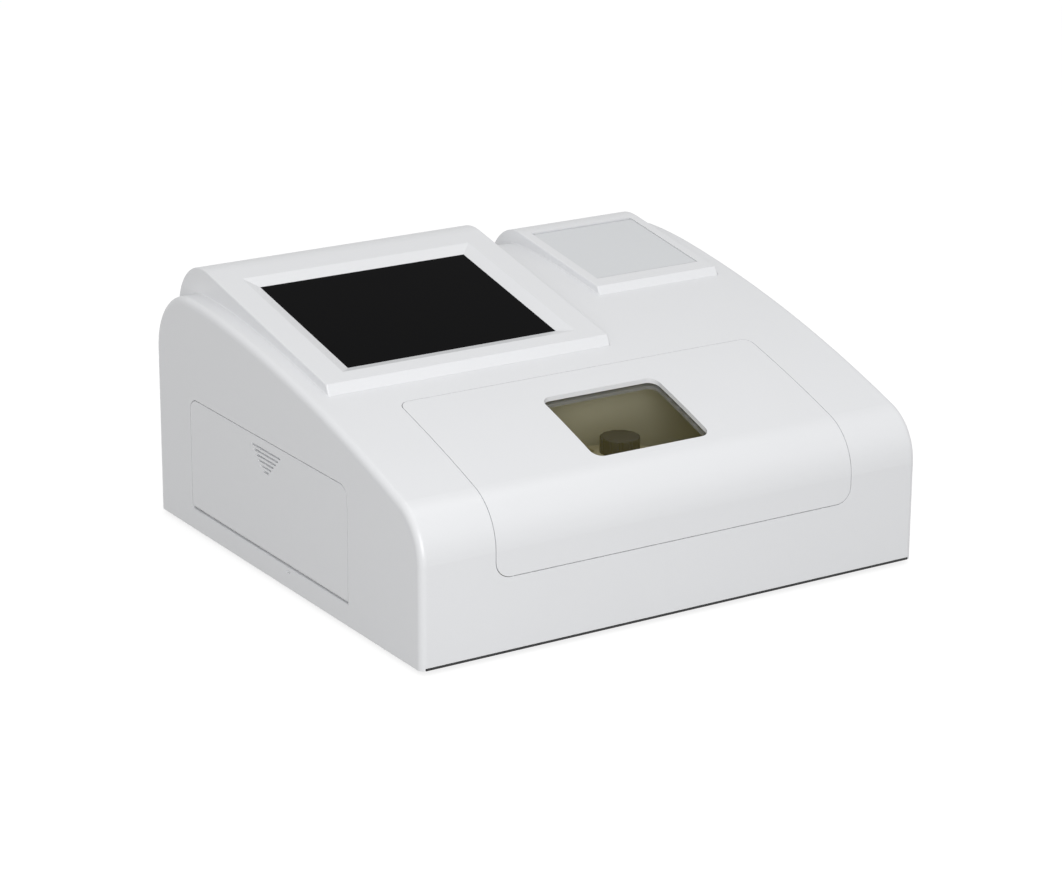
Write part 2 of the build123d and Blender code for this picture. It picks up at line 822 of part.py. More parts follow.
with BuildPart() as carousel_knob:
    with Locations((0, carousel_y, dome_z)):
        Cylinder(knob_radius, knob_height, align=(Align.CENTER, Align.CENTER, Align.MIN))
        with PolarLocations(knob_radius + knob_grip_radius / 2, knob_grips):
            Cylinder(
                knob_grip_radius,
                4 * knob_height,
                mode=Mode.SUBTRACT,
            )
    with Locations((0, carousel_y, dome_z)):
        Cylinder(spindle_radius, knob_height, mode=Mode.SUBTRACT)
    fillet(carousel_knob.faces().sort_by(Axis.Z)[-1].edges(), knob_edge_radius)
finish(carousel_knob, "carousel_knob")

with BuildPart() as spindle:
    with Locations((0, carousel_y, motor_z + spindle_foot)):
        Cylinder(
            spindle_radius,
            dome_z + knob_height / 2 - motor_z - spindle_foot,
            align=(Align.CENTER, Align.CENTER, Align.MIN),
        )
finish(spindle, "spindle")

with BuildPart() as stepper_motor:
    with BuildSketch(Plane.XY.offset(motor_z)):
        with Locations((0, carousel_y)):
            Rectangle(motor_side, motor_side)
        chamfer(vertices(), motor_corner)
    extrude(amount=motor_height)
    with Locations((0, carousel_y, motor_z + motor_height / 2)):
        wide = motor_side + overcut
        slim = motor_side - 2 * motor_stack_step
        stack = Box(wide, wide, motor_stack_height, mode=Mode.PRIVATE)
        core = Box(slim, slim, motor_height, mode=Mode.PRIVATE)
    add(stack.cut(core), mode=Mode.SUBTRACT)
    with Locations((0, carousel_y, motor_top_z)):
        Cylinder(motor_boss_radius, motor_boss_height, align=(Align.CENTER, Align.CENTER, Align.MIN))
        Cylinder(
            spindle_radius + running_fit,
            2 * (motor_height - spindle_foot + end_play),
            mode=Mode.SUBTRACT,
        )
    with Locations(*[(x, y, motor_top_z) for x, y in motor_screws_at]):
        Cylinder(screw_radius, 2 * motor_hole_depth, mode=Mode.SUBTRACT)
finish(stepper_motor, "stepper_motor")

with BuildPart() as motor_screws:
    with Locations(*[(x, y, tray_floor_z) for x, y in motor_screws_at]):
        Cylinder(screw_head_radius, screw_head_height, align=(Align.CENTER, Align.CENTER, Align.MIN))
        Cylinder(
            screw_radius,
            tray_thickness + motor_screw_reach,
            align=(Align.CENTER, Align.CENTER, Align.MAX),
        )
finish(motor_screws, "motor_screws")

# ---- Optics: lamp post inside the carousel, detector outside it ----
light_z = carousel_z + light_hole_height
with BuildPart() as emitter_block:
    width, length, height = emitter_size
    with Locations((-emitter_radius, carousel_y, tray_floor_z)):
        Box(width, length, height, align=(Align.CENTER, Align.CENTER, Align.MIN))
    with Locations(Plane((-emitter_radius - width / 2, carousel_y, light_z), z_dir=(-1, 0, 0))):
        Cylinder(optic_bore_radius, width, mode=Mode.SUBTRACT)
    with Locations(*[(x, y, tray_floor_z) for x, y in motor_screws_at]):
        Cylinder(screw_head_radius + seat_gap, 3 * screw_head_height, mode=Mode.SUBTRACT)
finish(emitter_block, "emitter_block")

with BuildPart() as emitter_lamp:
    with Locations(Plane((-emitter_radius, carousel_y, light_z), z_dir=(-1, 0, 0))):
        Cylinder(
            optic_bore_radius,
            emitter_size[0] / 2 - end_play,
            align=(Align.CENTER, Align.CENTER, Align.MIN),
        )
finish(emitter_lamp, "emitter_lamp")

detector_x = -(carousel_radius + detector_gap + detector_size[0] / 2)
with BuildPart() as detector_block:
    width, length, height = detector_size
    with Locations((detector_x, carousel_y, tray_floor_z)):
        Box(width, length, height, align=(Align.CENTER, Align.CENTER, Align.MIN))
    fillet(detector_block.edges().filter_by(Axis.Z), detector_corner)
    with Locations(Plane((detector_x + width / 2, carousel_y, light_z), z_dir=(1, 0, 0))):
        Cylinder(optic_bore_radius, width, mode=Mode.SUBTRACT)
finish(detector_block, "detector_block")

with BuildPart() as detector_lens:
    with Locations(Plane((detector_x + lens_from_middle, carousel_y, light_z), z_dir=(1, 0, 0))):
        Cylinder(optic_bore_radius, lens_thickness)
finish(detector_lens, "detector_lens")


def outer_edges(builder, half_width, middle_x):
    """Edges where a housing's side walls meet its lip, slope and rear rounding."""
    ends = builder.edges().filter_by(lambda e: abs(abs((e @ 0.5).X - middle_x) - half_width) < match)
    return ends.filter_by(lambda e: (e @ 0.5).Z > rear_centre[1] + match)


# ---- Screen housing: wedge shell on the hood, with a bevelled frame round the screen ----
screen_y = screen_front + screen_height / 2
glass_top = -housing_top_wall
lcd_top = glass_top - glass_thickness
lcd_back = lcd_top - lcd_thickness
lcd_half = screen_width / 2 + lcd_border
glass_half = screen_width / 2 + glass_border
bracket_step = glass_top - lcd_back
bracket_outer = display_half - frame_margin - seat_gap
bracket_screw_x = (glass_half + seat_gap + bracket_thickness + bracket_outer) / 2
bracket_screws_at = [
    (sx * bracket_screw_x, screen_y + sy * bracket_length / 3) for sx in (-1, 1) for sy in (-1, 1)
]
with BuildPart() as display_housing:
    add(housing_block(display_plane, display_tilt, display_rise, display_half, 0, 0))
    fillet(outer_edges(display_housing, display_half, display_x), housing_edge_radius)
    add(solid_case, mode=Mode.SUBTRACT)
    add(
        housing_block(
            display_plane, display_tilt, display_rise, display_half, housing_wall, housing_top_wall
        ),
        mode=Mode.SUBTRACT,
    )
    with BuildSketch(on_plane(display_plane, 0, screen_y, 0)):
        Rectangle(screen_width + 2 * bevel_width, screen_height + 2 * bevel_width)
    with BuildSketch(on_plane(display_plane, 0, screen_y, -bevel_depth)):
        Rectangle(screen_width, screen_height)
    loft(mode=Mode.SUBTRACT)
    with BuildSketch(on_plane(display_plane, 0, screen_y, -bevel_depth)):
        Rectangle(screen_width, screen_height)
    extrude(amount=-housing_top_wall, mode=Mode.SUBTRACT)
    for x, y in bracket_screws_at:
        with BuildSketch(on_plane(display_plane, x, y, glass_top)):
            Circle(screw_radius)
        extrude(amount=housing_top_wall / 2, mode=Mode.SUBTRACT)
finish(display_housing, "display_housing")


def plane_box(plane, x, y, top, width, length, thickness):
    """Box lying along a housing's slope, its top face at this local height."""
    with BuildPart() as block:
        with BuildSketch(on_plane(plane, x, y, top)):
            Rectangle(width, length)
        extrude(amount=-thickness)
    return block


touch_glass = plane_box(
    display_plane,
    0,
    screen_y,
    glass_top,
    screen_width + 2 * glass_border,
    screen_height + 2 * glass_border,
    glass_thickness,
)
finish(touch_glass, "touch_glass")

lcd_module = plane_box(
    display_plane,
    0,
    screen_y,
    lcd_top,
    screen_width + 2 * lcd_border,
    screen_height + 2 * lcd_border,
    lcd_thickness,
)
finish(lcd_module, "lcd_module")

with BuildPart() as lcd_brackets:
    for sign in (-1, 1):
        near = glass_half + seat_gap + bracket_thickness
        for inner, outer, top, depth in (
            (lcd_half - bracket_reach, near, lcd_back, bracket_thickness),
            (near - bracket_thickness, near, glass_top, bracket_step + bracket_thickness),
            (near - bracket_thickness, bracket_outer, glass_top, bracket_thickness),
        ):
            with BuildSketch(on_plane(display_plane, sign * (inner + outer) / 2, screen_y, top)):
                Rectangle(outer - inner, bracket_length)
            extrude(amount=-depth)
    for x, y in bracket_screws_at:
        with BuildSketch(on_plane(display_plane, x, y, glass_top)):
            Circle(screw_radius)
        extrude(amount=-bracket_thickness, mode=Mode.SUBTRACT)
finish(lcd_brackets, "lcd_brackets")

with BuildPart() as bracket_screws:
    for x, y in bracket_screws_at:
        with BuildSketch(on_plane(display_plane, x, y, glass_top - bracket_thickness)):
            Circle(screw_head_radius)
        extrude(amount=-screw_head_height)
        with BuildSketch(on_plane(display_plane, x, y, glass_top - bracket_thickness)):
            Circle(screw_radius)
        extrude(amount=bracket_thickness + housing_top_wall / 2)
finish(bracket_screws, "bracket_screws")

board_width, board_length, board_thickness = lcd_board_size
lcd_board_top = lcd_back - lcd_board_gap
lcd_board = plane_box(
    display_plane, 0, screen_y, lcd_board_top, board_width, board_length, board_thickness
)
finish(lcd_board, "lcd_board")

with BuildPart() as lcd_board_pillars:
    for sx in (-1, 1):
        for sy in (-1, 1):
            place = on_plane(
                display_plane,
                sx * (board_width / 2 - board_hole_inset),
                screen_y + sy * (board_length / 2 - board_hole_inset),
                lcd_back,
            )
            with BuildSketch(place):
                Circle(standoff_radius)
            extrude(amount=-lcd_board_gap)
finish(lcd_board_pillars, "lcd_board_pillars")

# ---- Printer housing: smaller wedge shell with an opening for the hinged cover ----
cover_y = cover_front + cover_length / 2
cover_rear = cover_front + cover_length
cover_half = cover_width / 2
bead_radius = cover_thickness
cover_axis = on_plane(printer_plane, 0, cover_rear - bead_radius, -cover_recess - bead_radius)
cover_pin_plane = Plane(origin=cover_axis.origin, z_dir=(1, 0, 0))
boss_inner = cover_half + seam_gap
boss_outer = printer_half - housing_wall / 2
with BuildPart() as printer_housing:
    add(housing_block(printer_plane, printer_tilt, printer_rise, printer_half, 0, 0))
    fillet(outer_edges(printer_housing, printer_half, printer_x), housing_edge_radius)
    add(solid_case, mode=Mode.SUBTRACT)
    add(
        housing_block(printer_plane, printer_tilt, printer_rise, printer_half, housing_wall, housing_wall),
        mode=Mode.SUBTRACT,
    )
    for sign in (-1, 1):
        middle = sign * (boss_inner + boss_outer) / 2
        with BuildSketch(on_plane(printer_plane, middle, cover_rear - bead_radius, -housing_wall / 2)):
            Rectangle(boss_outer - boss_inner, 4 * bead_radius)
        extrude(amount=-2 * bead_radius - housing_wall / 2)
    with BuildSketch(on_plane(printer_plane, 0, cover_y + (seam_gap - paper_slot) / 2, overcut)):
        Rectangle(cover_width + 2 * seam_gap, cover_length + seam_gap + paper_slot)
    extrude(amount=-(housing_wall + 2 * overcut), mode=Mode.SUBTRACT)
    with Locations(cover_pin_plane):
        Cylinder(door_pin_radius + running_fit, 2 * (boss_outer + end_play), mode=Mode.SUBTRACT)
finish(printer_housing, "printer_housing")

# ---- Printer cover: hinged at its rear edge on a rolled bead, it carries the platen roller ----
platen_y = cover_front + platen_from_front
platen_axis = on_plane(printer_plane, 0, platen_y, -cover_recess - platen_depth)
platen_plane = Plane(origin=platen_axis.origin, z_dir=(1, 0, 0))
arm_x = platen_width / 2 + seam_gap + platen_arm / 2
with BuildPart() as printer_cover:
    with BuildSketch(on_plane(printer_plane, 0, cover_y - bead_radius / 2, -cover_recess)):
        Rectangle(cover_width, cover_length - bead_radius)
    extrude(amount=-cover_thickness)
    with Locations(cover_pin_plane):
        Cylinder(bead_radius, cover_width)
    arm_top = -cover_recess - cover_thickness / 2
    for sign in (-1, 1):
        with BuildSketch(on_plane(printer_plane, sign * arm_x, platen_y, arm_top)):
            Rectangle(platen_arm, 2 * platen_radius)
        extrude(amount=cover_thickness / 2 - platen_depth)
        with Locations(platen_plane.offset(sign * arm_x)):
            Cylinder(platen_radius, platen_arm)
    with Locations(platen_plane):
        Cylinder(platen_shaft_radius + running_fit, cover_width, mode=Mode.SUBTRACT)
    with Locations(cover_pin_plane):
        Cylinder(door_pin_radius, 2 * cover_width, mode=Mode.SUBTRACT)
finish(printer_cover, "printer_cover")

with BuildPart() as printer_cover_pins:
    for sign in (-1, 1):
        with Locations(cover_pin_plane.offset(sign * (boss_outer - end_play - door_pin_length / 2))):
            Cylinder(door_pin_radius, door_pin_length)
finish(printer_cover_pins, "printer_cover_pins")

with BuildPart() as platen_roller:
    with Locations(platen_plane):
        Cylinder(platen_radius, platen_width)
        Cylinder(platen_shaft_radius, 2 * platen_width, mode=Mode.SUBTRACT)
finish(platen_roller, "platen_roller")

with BuildPart() as platen_shaft:
    with Locations(platen_plane):
        Cylinder(platen_shaft_radius, 2 * (arm_x + platen_arm))
finish(platen_shaft, "platen_shaft")

# ---- Paper bucket: round-bottomed trough hung below the printer housing ----
roll_axis = on_plane(printer_plane, 0, roll_from_lip, -roll_depth)
roll_plane = Plane(origin=roll_axis.origin, z_dir=(1, 0, 0))
trough_radius = roll_radius + roll_gap
ledge_outer = printer_half - frame_margin - seat_gap
bucket_ledge = ledge_outer - cover_half - seam_gap
flange_top = -cover_recess - cover_thickness - seam_gap
with BuildPart() as paper_bucket:
    with BuildSketch(on_plane(printer_plane, 0, roll_from_lip, flange_top)):
        Rectangle(bucket_width + 2 * bucket_wall, 2 * (trough_radius + bucket_wall))
    extrude(amount=-(roll_depth + flange_top))
    with Locations(roll_plane):
        Cylinder(trough_radius + bucket_wall, bucket_width + 2 * bucket_wall)
    with BuildSketch(on_plane(printer_plane, 0, roll_from_lip, flange_top)):
        Rectangle(2 * ledge_outer, 2 * (trough_radius + bucket_wall))
    extrude(amount=-bucket_flange)
    for sign in (-1, 1):
        middle = sign * (ledge_outer - bucket_ledge / 2)
        with BuildSketch(on_plane(printer_plane, middle, roll_from_lip, -housing_wall - seat_gap)):
            Rectangle(bucket_ledge, 2 * (trough_radius + bucket_wall))
        extrude(amount=flange_top + housing_wall + seat_gap - sink)
    with BuildSketch(on_plane(printer_plane, 0, roll_from_lip, overcut)):
        Rectangle(bucket_width, 2 * trough_radius)
    extrude(amount=-(roll_depth + overcut), mode=Mode.SUBTRACT)
    with Locations(roll_plane):
        Cylinder(trough_radius, bucket_width, mode=Mode.SUBTRACT)
finish(paper_bucket, "paper_bucket")

with BuildPart() as paper_roll:
    with Locations(roll_plane):
        Cylinder(roll_radius, roll_width)
        Cylinder(roll_core_radius, 2 * roll_width, mode=Mode.SUBTRACT)
finish(paper_roll, "paper_roll")

with BuildPart() as roll_core:
    with Locations(roll_plane):
        Cylinder(roll_core_radius, roll_width)
        Cylinder(roll_core_radius - roll_core_wall, 2 * roll_width, mode=Mode.SUBTRACT)
finish(roll_core, "roll_core")

# ---- Print head: heated bar under the platen, on the bucket's front wall ----
head_rear = roll_from_lip - trough_radius - bucket_wall - seat_gap
head_front = platen_y - print_head_ahead
print_head = plane_box(
    printer_plane,
    0,
    (head_front + head_rear) / 2,
    -cover_recess - platen_depth - platen_radius - print_head_gap,
    print_head_size[0],
    head_rear - head_front,
    print_head_size[1],
)
finish(print_head, "print_head")

# ---- Side door: drops open on two pins in a rolled lower edge, ribbed grip near its top ----
door_pin_plane = Plane(origin=(door_axis_x, door_y, door_axis_z), z_dir=(0, 1, 0))
with BuildPart() as side_door:
    add(door_block(0, door_thickness))
    add(slab((-far, -far, -far), (-side_x, far, far)), mode=Mode.SUBTRACT)
    add(slab((-far, -far, -far), (far, far, door_axis_z)), mode=Mode.SUBTRACT)
    with Locations(door_pin_plane):
        Cylinder(door_thickness, door_length)
    for index in range(grip_bars):
        width = grip_top_width + (grip_bottom_width - grip_top_width) * index / (grip_bars - 1)
        z = door_low_z + door_height - grip_below_top - index * grip_pitch
        with BuildSketch(Plane.YZ.offset(-side_x)):
            with Locations((door_y, z)):
                SlotOverall(width, grip_bar)
        extrude(amount=grip_depth, mode=Mode.SUBTRACT)
    with Locations(door_pin_plane):
        Cylinder(door_pin_radius, 2 * door_length, mode=Mode.SUBTRACT)
finish(side_door, "side_door")

with BuildPart() as door_pins:
    for end in (-1, 1):
        middle = end * (door_length / 2 + seam_gap + door_pin_boss - end_play - door_pin_length / 2)
        with Locations(door_pin_plane.offset(middle)):
            Cylinder(door_pin_radius, door_pin_length)
finish(door_pins, "door_pins")

# ---- Battery bay: open tub behind the door, standing on the base plate ----
bay_x = -side_x + door_thickness + bay_behind_door
bay_half = door_length / 2 - bay_inset
bay_low_z = deck_z + seat_gap
bay_high_z = door_low_z + door_height
bay_floor_z = door_low_z
with BuildPart() as battery_bay:
    add(slab((bay_x, door_y - bay_half, bay_low_z), (bay_x + bay_depth, door_y + bay_half, bay_high_z)))
    add(
        slab(
            (bay_x - overcut, door_y - bay_half + bay_wall, bay_floor_z),
            (bay_x + bay_depth - bay_wall, door_y + bay_half - bay_wall, bay_high_z - bay_wall),
        ),
        mode=Mode.SUBTRACT,
    )
    add(
        slab(
            (bay_x + bay_wall, door_y - bay_half + bay_wall, bay_low_z - overcut),
            (bay_x + bay_depth - bay_wall, door_y + bay_half - bay_wall, bay_floor_z - bay_wall),
        ),
        mode=Mode.SUBTRACT,
    )
finish(battery_bay, "battery_bay")

battery_x = bay_x + bay_depth - bay_wall - battery_side / 2 - seat_gap
battery_z = bay_floor_z + battery_side / 2 + seat_gap
with BuildPart() as battery_pack:
    with BuildSketch(Plane.XZ.offset(-door_y)):
        with Locations((battery_x, battery_z)):
            RectangleRounded(battery_side, battery_side, battery_edge)
    extrude(amount=battery_length / 2, both=True)
    fillet(battery_pack.faces().filter_by(Axis.Y).edges(), battery_end_radius)
finish(battery_pack, "battery_pack")

strap_side = battery_side + 2 * strap_thickness
with BuildPart() as battery_straps:
    for end in (-1, 1):
        with BuildSketch(Plane.XZ.offset(-(door_y + end * battery_length / 4))):
            with Locations((battery_x, battery_z)):
                RectangleRounded(strap_side, strap_side, battery_edge + strap_thickness)
                RectangleRounded(battery_side, battery_side, battery_edge, mode=Mode.SUBTRACT)
            with Locations((battery_x + battery_side, battery_z)):
                Rectangle(battery_side + 2 * battery_edge, 2 * battery_side, mode=Mode.SUBTRACT)
            with Locations((battery_x, battery_z - battery_side)):
                Rectangle(2 * battery_side, battery_side + 2 * battery_edge, mode=Mode.SUBTRACT)
        extrude(amount=strap_width / 2, both=True)
finish(battery_straps, "battery_straps")

# ---- Rear panel and its connectors ----
with BuildPart() as rear_panel:
    with BuildSketch(Plane.XZ.offset(-panel_face_y)):
        with Locations((0, panel_z)):
            RectangleRounded(panel_width, panel_height, panel_corner)
        with Locations((switch_x, panel_z)):
            Rectangle(switch_width, switch_height, mode=Mode.SUBTRACT)
        with Locations((inlet_x, panel_z)):
            Circle(inlet_radius, mode=Mode.SUBTRACT)
        with Locations((usb_x, panel_z), (usb_x + usb_pitch, panel_z)):
            Rectangle(usb_width, usb_height, mode=Mode.SUBTRACT)
        with Locations((port_x, panel_z)):
            Rectangle(port_width, port_height, mode=Mode.SUBTRACT)
    extrude(amount=panel_thickness)
finish(rear_panel, "rear_panel")

rocker_y = rear_y - connector_recess - rocker_reach
switch_hollow_width = switch_width - 2 * switch_side_wall
switch_hollow_height = switch_height - 2 * switch_end_wall
with BuildPart() as switch_frame:
    add(rear_slab(switch_x, switch_width, switch_height, connector_recess, switch_depth))
    add(
        rear_slab(switch_x, switch_hollow_width, switch_hollow_height, 0, switch_depth - switch_back),
        mode=Mode.SUBTRACT,
    )
    with Locations((switch_x, rocker_y, panel_z)):
        Cylinder(door_pin_radius, switch_hollow_height + 2 * sink)
finish(switch_frame, "switch_frame")

with BuildPart() as power_rocker:
    with BuildSketch(Plane.XY.offset(panel_z)):
        with Locations((switch_x, rocker_y)):
            Polygon(
                (-rocker_width / 2, 0),
                (rocker_width / 2, 0),
                (rocker_width / 2, rocker_reach),
                (0, rocker_reach - rocker_dip),
                (-rocker_width / 2, rocker_reach),
                align=None,
            )
            Circle(2 * door_pin_radius)
    extrude(amount=switch_hollow_height / 2 - rocker_gap, both=True)
    with Locations((switch_x, rocker_y, panel_z)):
        Cylinder(door_pin_radius + running_fit, switch_height, mode=Mode.SUBTRACT)
finish(power_rocker, "power_rocker")

with BuildPart() as usb_ports:
    for x in (usb_x, usb_x + usb_pitch):
        add(rear_slab(x, usb_width, usb_height, connector_recess, usb_depth))
        add(
            rear_slab(x, usb_width - 2 * usb_skin, usb_height - 2 * usb_skin, 0, usb_depth - usb_back),
            mode=Mode.SUBTRACT,
        )
        tongue_half = usb_width / 2 - 2 * usb_skin
        add(
            slab(
                (x - tongue_half, rear_y - usb_depth + usb_back / 2, panel_z),
                (x + tongue_half, rear_y - connector_recess - usb_tongue_recess, panel_z + usb_tongue),
            )
        )
finish(usb_ports, "usb_ports")

with BuildPart() as network_port:
    add(rear_slab(port_x, port_width, port_height, connector_recess, port_depth))
    add(
        rear_slab(port_x, port_width - 2 * port_skin, port_height - 2 * port_skin, 0, port_hollow),
        mode=Mode.SUBTRACT,
    )
finish(network_port, "network_port")

with BuildPart() as power_inlet:
    with Locations(Plane((inlet_x, rear_y - connector_recess, panel_z), z_dir=(0, -1, 0))):
        Cylinder(inlet_radius, inlet_depth, align=(Align.CENTER, Align.CENTER, Align.MIN))
        Cylinder(
            inlet_bore,
            inlet_bore_depth,
            align=(Align.CENTER, Align.CENTER, Align.MIN),
            mode=Mode.SUBTRACT,
        )
    pin_y = rear_y - connector_recess - inlet_bore_depth - sink
    with Locations(Plane((inlet_x, pin_y, panel_z), z_dir=(0, 1, 0))):
        Cylinder(inlet_pin_radius, inlet_pin_length, align=(Align.CENTER, Align.CENTER, Align.MIN))
finish(power_inlet, "power_inlet")

# ---- Main board, on pillars on the base plate ----
board_y = tray_rear_y + board_gap_behind_tray + board_size[1] / 2
board_z = deck_z + board_standoff
board_holes = [
    (sx * (board_size[0] / 2 - board_hole_inset), board_y + sy * (board_size[1] / 2 - board_hole_inset))
    for sx in (-1, 1)
    for sy in (-1, 1)
]
with BuildPart() as main_board:
    with Locations((0, board_y, board_z)):
        Box(*board_size, align=(Align.CENTER, Align.CENTER, Align.MIN))
    with Locations(*[(x, y, board_z) for x, y in board_holes]):
        Cylinder(screw_radius, 4 * board_size[2], mode=Mode.SUBTRACT)
finish(main_board, "main_board")

with BuildPart() as board_pillars:
    with Locations(*[(x, y, deck_z) for x, y in board_holes]):
        Cylinder(standoff_radius, board_standoff, align=(Align.CENTER, Align.CENTER, Align.MIN))
        Cylinder(
            screw_radius,
            board_standoff,
            align=(Align.CENTER, Align.CENTER, Align.MIN),
            mode=Mode.SUBTRACT,
        )
finish(board_pillars, "board_pillars")

board_top = board_z + board_size[2]
with BuildPart() as board_screws:
    with Locations(*[(x, y, board_top) for x, y in board_holes]):
        Cylinder(screw_head_radius, screw_head_height, align=(Align.CENTER, Align.CENTER, Align.MIN))
    with Locations(*[(x, y, board_top) for x, y in board_holes]):
        Cylinder(screw_radius, board_standoff, align=(Align.CENTER, Align.CENTER, Align.MAX))
finish(board_screws, "board_screws")

with BuildPart() as board_chips:
    with Locations((-processor_left, board_y + processor_back, board_top)):
        Box(processor_side, processor_side, chip_thickness, align=(Align.CENTER, Align.CENTER, Align.MIN))
    with Locations((0, board_y - chip_front, board_top)):
        with GridLocations(chip_pitch, 0, chip_count, 1):
            Box(chip_side, chip_side, chip_thickness, align=(Align.CENTER, Align.CENTER, Align.MIN))
finish(board_chips, "board_chips")

with BuildPart() as board_capacitors:
    with Locations((0, board_y, board_top)):
        with GridLocations(capacitor_pitch, 0, capacitor_count, 1):
            with Locations((capacitor_right, capacitor_back, 0)):
                Cylinder(capacitor_radius, capacitor_height, align=(Align.CENTER, Align.CENTER, Align.MIN))
finish(board_capacitors, "board_capacitors")

# ---- Lid magnets and their keepers, at the lid's front edge ----
magnet_z = base_z + tray_front_lip + 2 * magnet_radius
with BuildPart() as lid_magnets:
    for sign in (-1, 1):
        with Locations(Plane((sign * magnet_from_middle, front_y + wall, magnet_z), z_dir=(0, 1, 0))):
            Cylinder(magnet_radius, magnet_thickness, align=(Align.CENTER, Align.CENTER, Align.MIN))
finish(lid_magnets, "lid_magnets")

keeper_y = tray_front_y + tray_thickness
with BuildPart() as magnet_keepers:
    for sign in (-1, 1):
        with Locations((sign * magnet_from_middle, keeper_y, magnet_z + magnet_radius)):
            Box(
                3 * magnet_radius,
                keeper_thickness,
                5 * magnet_radius,
                align=(Align.CENTER, Align.MIN, Align.MAX),
            )
finish(magnet_keepers, "magnet_keepers")

# ---- Door magnets on the door's inner face, and their keepers in the bay's rim ----
catch_z = bay_high_z - bay_wall
with BuildPart() as door_magnets:
    for end in (-1, 1):
        with Locations((-side_x + door_thickness, door_y + end * catch_from_middle, catch_z)):
            Box(
                magnet_thickness,
                3 * magnet_radius,
                magnet_radius,
                align=(Align.MIN, Align.CENTER, Align.MAX),
            )
finish(door_magnets, "door_magnets")

with BuildPart() as door_keepers:
    for end in (-1, 1):
        with Locations((bay_x, door_y + end * catch_from_middle, catch_z)):
            Box(
                keeper_thickness,
                3 * magnet_radius,
                magnet_radius,
                align=(Align.MIN, Align.CENTER, Align.MAX),
            )
finish(door_keepers, "door_keepers")
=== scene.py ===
"""Rapid test reader: a white moulded bench-top case with its screen, printer, lid and side door."""

from math import cos, pi, radians, sin

import bmesh
import bpy
from mathutils import Matrix, Vector
from mathutils.bvhtree import BVHTree


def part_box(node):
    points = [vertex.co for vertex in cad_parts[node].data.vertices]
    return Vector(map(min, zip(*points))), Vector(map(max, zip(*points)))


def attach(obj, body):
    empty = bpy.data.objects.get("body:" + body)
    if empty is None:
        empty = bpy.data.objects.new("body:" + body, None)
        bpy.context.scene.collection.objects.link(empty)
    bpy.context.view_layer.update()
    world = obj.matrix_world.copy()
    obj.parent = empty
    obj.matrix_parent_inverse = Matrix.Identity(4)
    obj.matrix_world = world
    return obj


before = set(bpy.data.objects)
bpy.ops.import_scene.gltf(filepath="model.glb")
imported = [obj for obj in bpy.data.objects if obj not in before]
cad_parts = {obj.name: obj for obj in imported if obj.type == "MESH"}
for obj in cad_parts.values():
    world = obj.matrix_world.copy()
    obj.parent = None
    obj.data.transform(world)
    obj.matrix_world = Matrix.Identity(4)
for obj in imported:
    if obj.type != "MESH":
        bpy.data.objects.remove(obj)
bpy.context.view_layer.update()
MM = 0.001

# ---- Case shell ----
# The upper shell is one injection moulding in glossy white ABS, open below and screwed to a black
# base plate. The screen housing, printer housing, lid and side door are moulded in the same white.
plastic_ior = 1.53
drift_size = 60.0
drift_detail = 2.0
sheen_spread = 0.04
grain_height = 0.1
coat_roughness = 0.2


def linear(hex_colour):
    """sRGB hex colour as a linear RGBA value."""
    parts = [int(hex_colour[i : i + 2], 16) / 255 for i in (1, 3, 5)]
    lit = [c / 12.92 if c <= 0.04045 else ((c + 0.055) / 1.055) ** 2.4 for c in parts]
    return (*lit, 1.0)


def add_node(tree, kind, links=None, **settings):
    """Adds a shader node; links gives each input an output of another node, or a plain value."""
    made = tree.nodes.new("ShaderNode" + kind)
    for name, value in settings.items():
        setattr(made, name, value)
    for name, value in (links or {}).items():
        if isinstance(value, bpy.types.NodeSocket):
            tree.links.new(value, made.inputs[name])
        else:
            made.inputs[name].default_value = value
    return made


def new_material(name):
    """Empty node material, and its node tree."""
    made = bpy.data.materials.new(name)
    made.use_nodes = True
    made.node_tree.nodes.clear()
    return made, made.node_tree


def grained_finish(name, colour, roughness, grain, depth, mottle=0.02, coat=0.0, detail=3.0):
    """A finish other than metal: a faint grain this many mm wide, and a slow drift in tone."""
    made, tree = new_material(name)
    place = add_node(tree, "TexCoord").outputs["Object"]
    fine = add_node(
        tree, "TexNoise", {"Vector": place, "Scale": 1 / (grain * MM), "Detail": detail}
    )
    slow = add_node(
        tree,
        "TexNoise",
        {"Vector": place, "Scale": 1 / (drift_size * MM), "Detail": drift_detail},
    )
    base = linear(colour)
    darker = (*[c * (1 - 2 * mottle) for c in base[:3]], 1.0)
    tone = add_node(
        tree, "Mix", {"Factor": slow.outputs["Fac"], "A": darker, "B": base}, data_type="RGBA"
    )
    sheen = add_node(
        tree,
        "MapRange",
        {
            "Value": slow.outputs["Fac"],
            "To Min": roughness - sheen_spread,
            "To Max": roughness + sheen_spread,
        },
    )
    bump = add_node(
        tree,
        "Bump",
        {"Height": fine.outputs["Fac"], "Strength": depth, "Distance": grain_height * MM},
    )
    shader = add_node(
        tree,
        "BsdfPrincipled",
        {
            "Base Color": tone.outputs["Result"],
            "Roughness": sheen.outputs["Result"],
            "Normal": bump.outputs["Normal"],
            "IOR": plastic_ior,
            "Coat Weight": coat,
            "Coat Roughness": coat_roughness,
        },
    )
    add_node(tree, "OutputMaterial", {"Surface": shader.outputs["BSDF"]})
    return made


def dress(material, *names):
    """Gives this material to each of these pieces."""
    for name in names:
        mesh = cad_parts[name].data
        mesh.materials.clear()
        mesh.materials.append(material)


